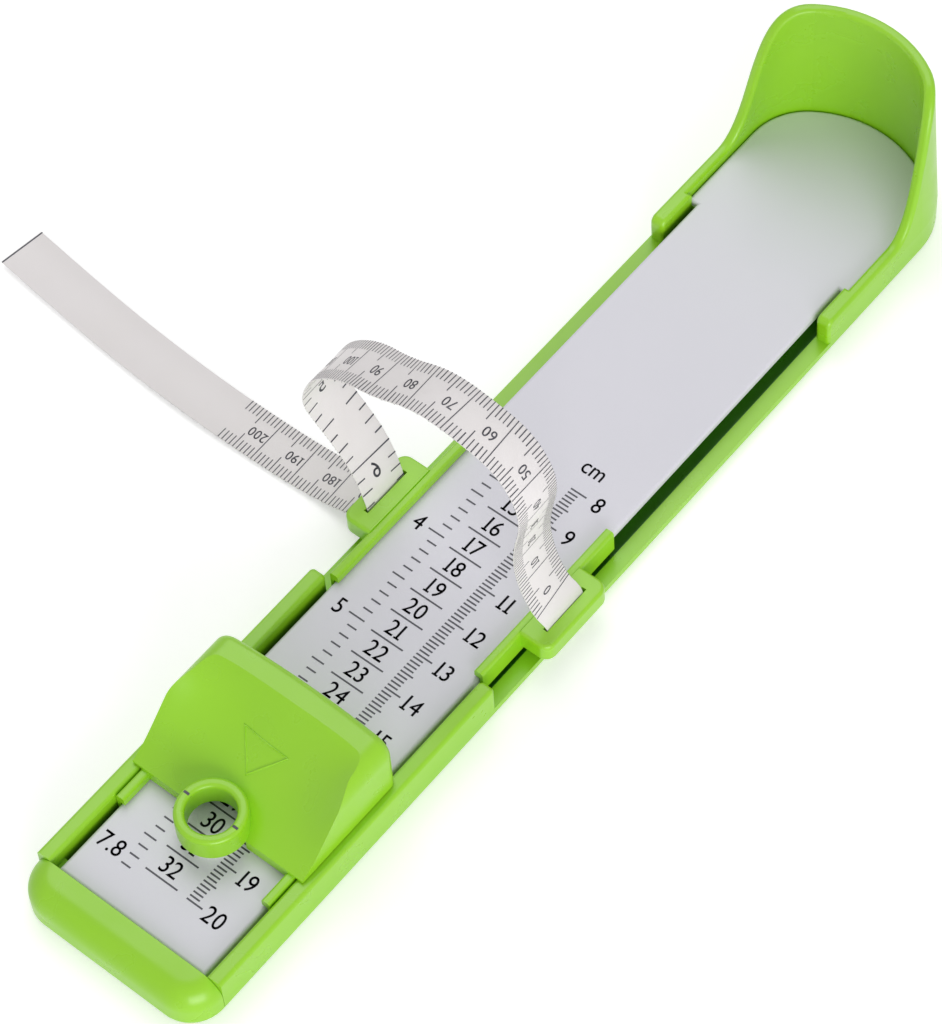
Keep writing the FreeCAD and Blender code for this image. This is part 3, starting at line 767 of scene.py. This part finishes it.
class GAUGE_OT_make_tape(bpy.types.Operator):
    """Make the measuring tape and print both its faces"""

    bl_idname = "gauge.make_tape"
    bl_label = "Make the tape"

    def execute(self, context):
        colours = context.scene.gauge_colours
        sizes = context.scene.gauge_tape
        printing = context.scene.gauge_print
        line = TapeLine(tape_line())
        coating = coated_fibreglass("Coated glass-fibre tape", colours.tape)
        tape = self.ribbon(line, sizes, coating)
        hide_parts("measuring_tape")
        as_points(line.points)
        ink = pad_ink("Printed ink, tape", colours.ink)
        self.millimetres(line, sizes, printing, ink)
        self.inches(line, sizes, printing, ink)
        return {"FINISHED"}

    def ribbon(self, line, sizes, material):
        """Closed ribbon with softly rounded edges along the line."""
        half = sizes.width / 2
        thick = sizes.thickness / 2
        edge = thick * EDGE_SHARE
        section = [(-half, -edge), (-half + thick, -thick), (0, -thick),
                   (half - thick, -thick), (half, -edge), (half, edge),
                   (half - thick, thick), (0, thick), (-half + thick, thick),
                   (-half, edge)]
        count = len(section)
        steps = int(line.total / (RIBBON_STEP * MM))
        vertices = []
        for step in range(steps + 1):
            point, across, outward = line.at(line.total * step / steps)
            for side, rise in section:
                vertices.append(point + outward * rise + across * side)
        faces = []
        for step in range(steps):
            a = step * count
            b = a + count
            for i in range(count):
                j = (i + 1) % count
                faces.append((a + i, b + i, b + j, a + j))
        faces.append(tuple(range(count)))
        faces.append(tuple(reversed(range(steps * count, (steps + 1) * count))))
        tape = mesh_piece("tape_ribbon", vertices, faces, "carriage", material,
                          smooth=True)
        layer = tape.data.uv_layers.new(name="UVMap")
        for loop in tape.data.loops:
            step, corner = divmod(loop.vertex_index, count)
            layer.data[loop.index].uv = (line.total * step / steps, section[corner][0])
        return tape

    def millimetres(self, line, sizes, printing, ink):
        """Outer face: millimetres at both edges and a number at every ten."""
        face = tape_face(line, sizes, printing, 1)
        glyphs = Glyphs()
        half = sizes.width / 2
        stroke = MM_HALF_STROKE * MM
        for step in range(sizes.printed_length + 1):
            u = step * MM
            kind = tick_kind(step)
            if kind == "whole":
                face.bar(u - stroke, u + stroke, -half, half)
                face.word(glyphs, str(step), u + MM_DIGIT_PAST * MM,
                          DIGIT_OFF_MIDDLE * MM, MM_DIGIT_HEIGHT * MM)
            else:
                edge_lines(face, u, stroke, half, MM_LINE_LENGTHS[kind] * MM)
        # The sealed end of the ribbon is dark.
        end = line.total - sizes.blank
        face.bar(end - SEALED_END[0] * MM, end - SEALED_END[1] * MM, -half, half)
        mesh_piece("tape_millimetres", face.vertices, face.faces, "carriage", ink)

    def inches(self, line, sizes, printing, ink):
        """Inner face: eighths of an inch and a number at every inch."""
        face = tape_face(line, sizes, printing, -1)
        glyphs = Glyphs()
        half = sizes.width / 2
        stroke = INCH_HALF_STROKE * MM
        for eighth in range(sizes.last_inch * 8 + 1):
            u = eighth * INCH / 8 * MM
            if eighth % 8:
                length = (HALF_INCH_LENGTH if eighth % 4 == 0 else
                          QUARTER_LENGTH if eighth % 2 == 0 else EIGHTH_LENGTH)
                edge_lines(face, u, stroke, half, length * MM)
                continue
            face.bar(u - stroke, u + stroke, -half, half)
            if eighth:
                face.word(glyphs, str(eighth // 8), u + INCH_DIGIT_PAST * MM,
                          DIGIT_OFF_MIDDLE * MM, INCH_DIGIT_HEIGHT * MM, turned=True)
        mesh_piece("tape_inches", face.vertices, face.faces, "carriage", ink)


# --- mouldings ------------------------------------------------------------------

class GAUGE_OT_finish_mouldings(bpy.types.Operator):
    """Give the tray, cap, carriage and slider their moulded finish"""

    bl_idname = "gauge.finish_mouldings"
    bl_label = "Finish the mouldings"

    def execute(self, context):
        colours = context.scene.gauge_colours
        names = {
            "base_tray": "Moulded ABS, tray",
            "toe_end_cap": "Moulded ABS, cap",
            "tape_carriage": "Moulded ABS, carriage",
            "toe_slider": "Moulded ABS, slider",
        }
        for node_name, name in names.items():
            # Only the tray gets painted shade in its groove beside the plate.
            give(node_name, moulded_abs(name, colours.green, colours.green_deep,
                                        paint_groove_shade=node_name == "base_tray"))
        return {"FINISHED"}


class GAUGE_OT_finish_plate(bpy.types.Operator):
    """Give the plate and the hidden metal pieces their finish"""

    bl_idname = "gauge.finish_plate"
    bl_label = "Finish the plate and metal"

    def execute(self, context):
        colours = context.scene.gauge_colours
        give("foot_plate", satin_polystyrene("Satin polystyrene plate", colours.plate))
        steel = zinc_plated_steel("Zinc-plated steel")
        give("base_screws", steel)
        give("tape_anchor_pin", steel)
        return {"FINISHED"}


# Marks on the slider in millimetres. The ring's middle is measured from the toe
# end of the slider, and the arrow's corners from the ring's middle.
RING_FROM_TOE = 7.5
INDEX_PLACES = (-6.1, 6.1)
INDEX_WIDTH = 0.6
INDEX_LENGTH = 1.75
INDEX_RISE = 0.03
INDEX_PARTS = 4
ARROW_CORNERS = [(-6.2, 17.5), (5.8, 16.9), (-0.3, 10.4)]
ARROW_STROKE = 0.45
ARROW_RISE = 0.22
ARROW_STEPS = 24

# The arrow's ridge in shares of its stroke and its rise: a foot at each side, a little
# sunk, and a flat top between them.
ARROW_SECTION = [(0.0, -0.05), (0.3, 1.0), (0.7, 1.0), (1.0, -0.05)]

# Marks are dropped on the slider from this height, in metres.
DROP_HEIGHT = 0.2


class GAUGE_OT_mark_slider(bpy.types.Operator):
    """Paint the index marks on the ring and raise the arrow on the slope"""

    bl_idname = "gauge.mark_slider"
    bl_label = "Mark the slider"

    def execute(self, context):
        colours = context.scene.gauge_colours
        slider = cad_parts["toe_slider"]
        surface = BVHTree.FromObject(slider, bpy.context.evaluated_depsgraph_get())
        ring_y = SLIDER_TOE_Y + RING_FROM_TOE * MM

        def on_slider(x, y, rise):
            spot = surface.ray_cast(Vector((x, y, DROP_HEIGHT)), Vector((0, 0, -1)))[0]
            if spot is None:
                raise RuntimeError("a slider mark lies off the slider")
            return spot + Vector((0, 0, rise))

        paint = pad_ink("Painted index marks", colours.ink)
        self.index_marks(on_slider, ring_y, paint)
        self.arrow(on_slider, ring_y, slider.data.materials[0])
        return {"FINISHED"}

    def index_marks(self, on_slider, ring_y, ink):
        """A painted line at each side of the ring's top."""
        marks = Print(lambda u, v: on_slider(u, ring_y + v, INDEX_RISE * MM))
        half_width = INDEX_WIDTH * MM / 2
        half_length = INDEX_LENGTH * MM / 2
        for middle in INDEX_PLACES:
            marks.bar(middle * MM - half_length, middle * MM + half_length,
                      -half_width, half_width, parts=INDEX_PARTS)
        mesh_piece("ring_index_marks", marks.vertices, marks.faces, "slider", ink)

    def arrow(self, on_slider, ring_y, plastic):
        """A raised outline that points at the ring, following the slope."""
        corners = [Vector((x * MM, ring_y + y * MM)) for x, y in ARROW_CORNERS]
        middle = (corners[0] + corners[1] + corners[2]) / 3
        vertices = []
        faces = []
        for first, second in zip(corners, corners[1:] + corners[:1]):
            for step in range(ARROW_STEPS):
                start = first.lerp(second, step / ARROW_STEPS)
                towards = middle - start
                inward = towards * (ARROW_STROKE * MM / towards.length)
                for share, rise in ARROW_SECTION:
                    spot = start + inward * share
                    vertices.append(on_slider(spot.x, spot.y, rise * ARROW_RISE * MM))
        count = len(ARROW_SECTION)
        for a in range(0, len(vertices), count):
            b = (a + count) % len(vertices)
            faces += [(a + i, b + i, b + i + 1, a + i + 1) for i in range(count - 1)]
        mesh_piece("slider_arrow", vertices, faces, "slider", plastic,
                   smooth=True)


# --- stage ----------------------------------------------------------------------

# Point on the plate that the camera looks at and the height of its frame, both in
# millimetres, and the nearest distance that it sees, in metres.
LOOK_AT = (-7.47, -5.84, 7.3)
FRAME_HEIGHT = 36.0
NEAREST_SEEN = 0.01

# The floor in metres, a hair under the gauge.
FLOOR_HALF_SIZE = 3.0
FLOOR_GAP = 0.0001

# Each lamp's place and size in metres, and its share of the lamp power.
LAMPS = {
    "key": ((-0.5, 0.5, 1.1), 1.0, 1.65),
    "front": ((1.3, -0.95, 0.38), 1.1, 5.3),
}

# Strengths of the white round the gauge: as light, as it is seen, and what the paper
# adds where it is seen.
WORLD_LIGHT = 0.48
WORLD_SEEN = 1.0
PAPER_GLOW = 0.34


def seen_ray(tree):
    """1 for what the eye sees directly, in glossy faces and through clear ones."""
    rays = add_node(tree, "ShaderNodeLightPath").outputs
    mirrored = add_node(tree, "ShaderNodeMath",
                        {0: rays["Is Camera Ray"], 1: rays["Is Glossy Ray"]},
                        operation="MAXIMUM")
    return add_node(tree, "ShaderNodeMath",
                    {0: mirrored.outputs[0], 1: rays["Is Transmission Ray"]},
                    operation="MAXIMUM").outputs[0]


def backdrop_paper(name):
    """Matt white paper that the camera sees nearly white, shadows included."""
    material, tree = new_material(name)
    place = add_node(tree, "ShaderNodeTexCoord").outputs["Object"]
    fibre = add_node(tree, "ShaderNodeTexNoise",
                     {"Vector": place, "Scale": per_mm(PAPER_FIBRE), "Detail": 3.0})
    tone = add_node(tree, "ShaderNodeMix",
                    {"Factor": fibre.outputs["Fac"], "A": linear(PAPER_DARK),
                     "B": linear(PAPER_BRIGHT)}, data_type="RGBA")
    paper = add_node(tree, "ShaderNodeBsdfPrincipled",
                     {"Base Color": tone.outputs["Result"], "Roughness": 0.9})
    glow = add_node(tree, "ShaderNodeEmission",
                    {"Color": WHITE, "Strength": PAPER_GLOW})
    both = add_node(tree, "ShaderNodeAddShader",
                    {0: paper.outputs[0], 1: glow.outputs[0]})
    shader = add_node(tree, "ShaderNodeMixShader",
                      {0: seen_ray(tree), 1: paper.outputs[0], 2: both.outputs[0]})
    add_node(tree, "ShaderNodeOutputMaterial", {"Surface": shader.outputs[0]})
    return material


class GAUGE_OT_set_stage(bpy.types.Operator):
    """Set the floor, the soft lights and the camera"""

    bl_idname = "gauge.set_stage"
    bl_label = "Set the stage"

    def execute(self, context):
        scene = context.scene
        self.floor()
        self.lights(scene.gauge_stage)
        self.world(scene)
        self.camera(scene)
        scene.view_settings.view_transform = "Standard"
        return {"FINISHED"}

    def floor(self):
        """A wide sheet of paper under the gauge."""
        size = FLOOR_HALF_SIZE
        height = min(CAD_LOW[2], 0.0) - FLOOR_GAP
        mesh = bpy.data.meshes.new("floor")
        mesh.from_pydata([(-size, -size, height), (size, -size, height),
                          (size, size, height), (-size, size, height)],
                         [], [(0, 1, 2, 3)])
        mesh.materials.append(backdrop_paper("White backdrop paper"))
        floor = link(bpy.data.objects.new("floor", mesh))

    def lights(self, settings):
        """Soft square lamps that face the middle of the gauge."""
        for name, (place, size, share) in LAMPS.items():
            lamp = bpy.data.lights.new(name, "AREA")
            lamp.energy = settings.lamp_power * share
            lamp.size = size
            holder = link(bpy.data.objects.new(name, lamp))
            holder.location = place
            holder.rotation_euler = Vector(place).to_track_quat("Z", "Y").to_euler()

    def world(self, scene):
        """White all round, plainer as a light than as it is seen."""
        world = bpy.data.worlds.new("Studio white")
        world.use_nodes = True
        tree = world.node_tree
        tree.nodes.clear()
        light = add_node(tree, "ShaderNodeBackground",
                         {"Color": WHITE, "Strength": WORLD_LIGHT})
        backdrop = add_node(tree, "ShaderNodeBackground",
                            {"Color": WHITE, "Strength": WORLD_SEEN})
        mixed = add_node(tree, "ShaderNodeMixShader",
                         {0: seen_ray(tree), 1: light.outputs[0],
                          2: backdrop.outputs[0]})
        add_node(tree, "ShaderNodeOutputWorld", {"Surface": mixed.outputs[0]})
        scene.world = world

    def camera(self, scene):
        """A long lens that looks down on the gauge from beside its toe end."""
        settings = scene.gauge_stage
        target = Vector(LOOK_AT) * MM
        level = math.cos(settings.elevation)
        offset = Vector((level * math.sin(settings.azimuth),
                         -level * math.cos(settings.azimuth),
                         math.sin(settings.elevation)))
        data = bpy.data.cameras.new("camera")
        data.sensor_fit = "VERTICAL"
        data.sensor_height = FRAME_HEIGHT
        data.lens = settings.lens
        data.clip_start = NEAREST_SEEN
        camera = link(bpy.data.objects.new("camera", data))
        camera.location = target + offset * settings.distance
        aim = offset.to_track_quat("Z", "Y").to_matrix()
        turn = aim @ Matrix.Rotation(settings.roll, 3, "Z")
        camera.rotation_euler = turn.to_euler()
        scene.camera = camera


# --- panel and registration -------------------------------------------------------

OPERATORS = (
    GAUGE_OT_set_stage,
    GAUGE_OT_finish_mouldings,
    GAUGE_OT_finish_plate,
    GAUGE_OT_print_plate,
    GAUGE_OT_make_tape,
    GAUGE_OT_mark_slider,
)
GROUPS = {
    "gauge_colours": GaugeColours,
    "gauge_print": GaugePrint,
    "gauge_tape": GaugeTape,
    "gauge_stage": GaugeStage,
}


class GAUGE_PT_panel(bpy.types.Panel):
    """Lists the steps that dress the gauge"""

    bl_label = "Foot measuring gauge"
    bl_space_type = "VIEW_3D"
    bl_region_type = "UI"
    bl_category = "Gauge"

    def draw(self, context):
        """The steps as buttons, then each group of values in a box."""
        for operator in OPERATORS:
            self.layout.operator(operator.bl_idname)
        for name, group in GROUPS.items():
            box = self.layout.box()
            for key in group.__annotations__:
                box.prop(getattr(context.scene, name), key)


def register():
    """Adds the groups, the steps and the panel to Blender."""
    for group in GROUPS.values():
        bpy.utils.register_class(group)
    for name, group in GROUPS.items():
        setattr(bpy.types.Scene, name, bpy.props.PointerProperty(type=group))
    for operator in OPERATORS:
        bpy.utils.register_class(operator)
    bpy.utils.register_class(GAUGE_PT_panel)


def unregister():
    """Takes away what register added."""
    bpy.utils.unregister_class(GAUGE_PT_panel)
    for operator in reversed(OPERATORS):
        bpy.utils.unregister_class(operator)
    for name in GROUPS:
        delattr(bpy.types.Scene, name)
    for group in GROUPS.values():
        bpy.utils.unregister_class(group)


def main():
    """Dresses the gauge step by step."""
    register()
    bpy.ops.gauge.set_stage()
    bpy.ops.gauge.finish_mouldings()
    bpy.ops.gauge.finish_plate()
    bpy.ops.gauge.print_plate()
    bpy.ops.gauge.make_tape()
    bpy.ops.gauge.mark_slider()


if __name__ == "__main__":
    main()
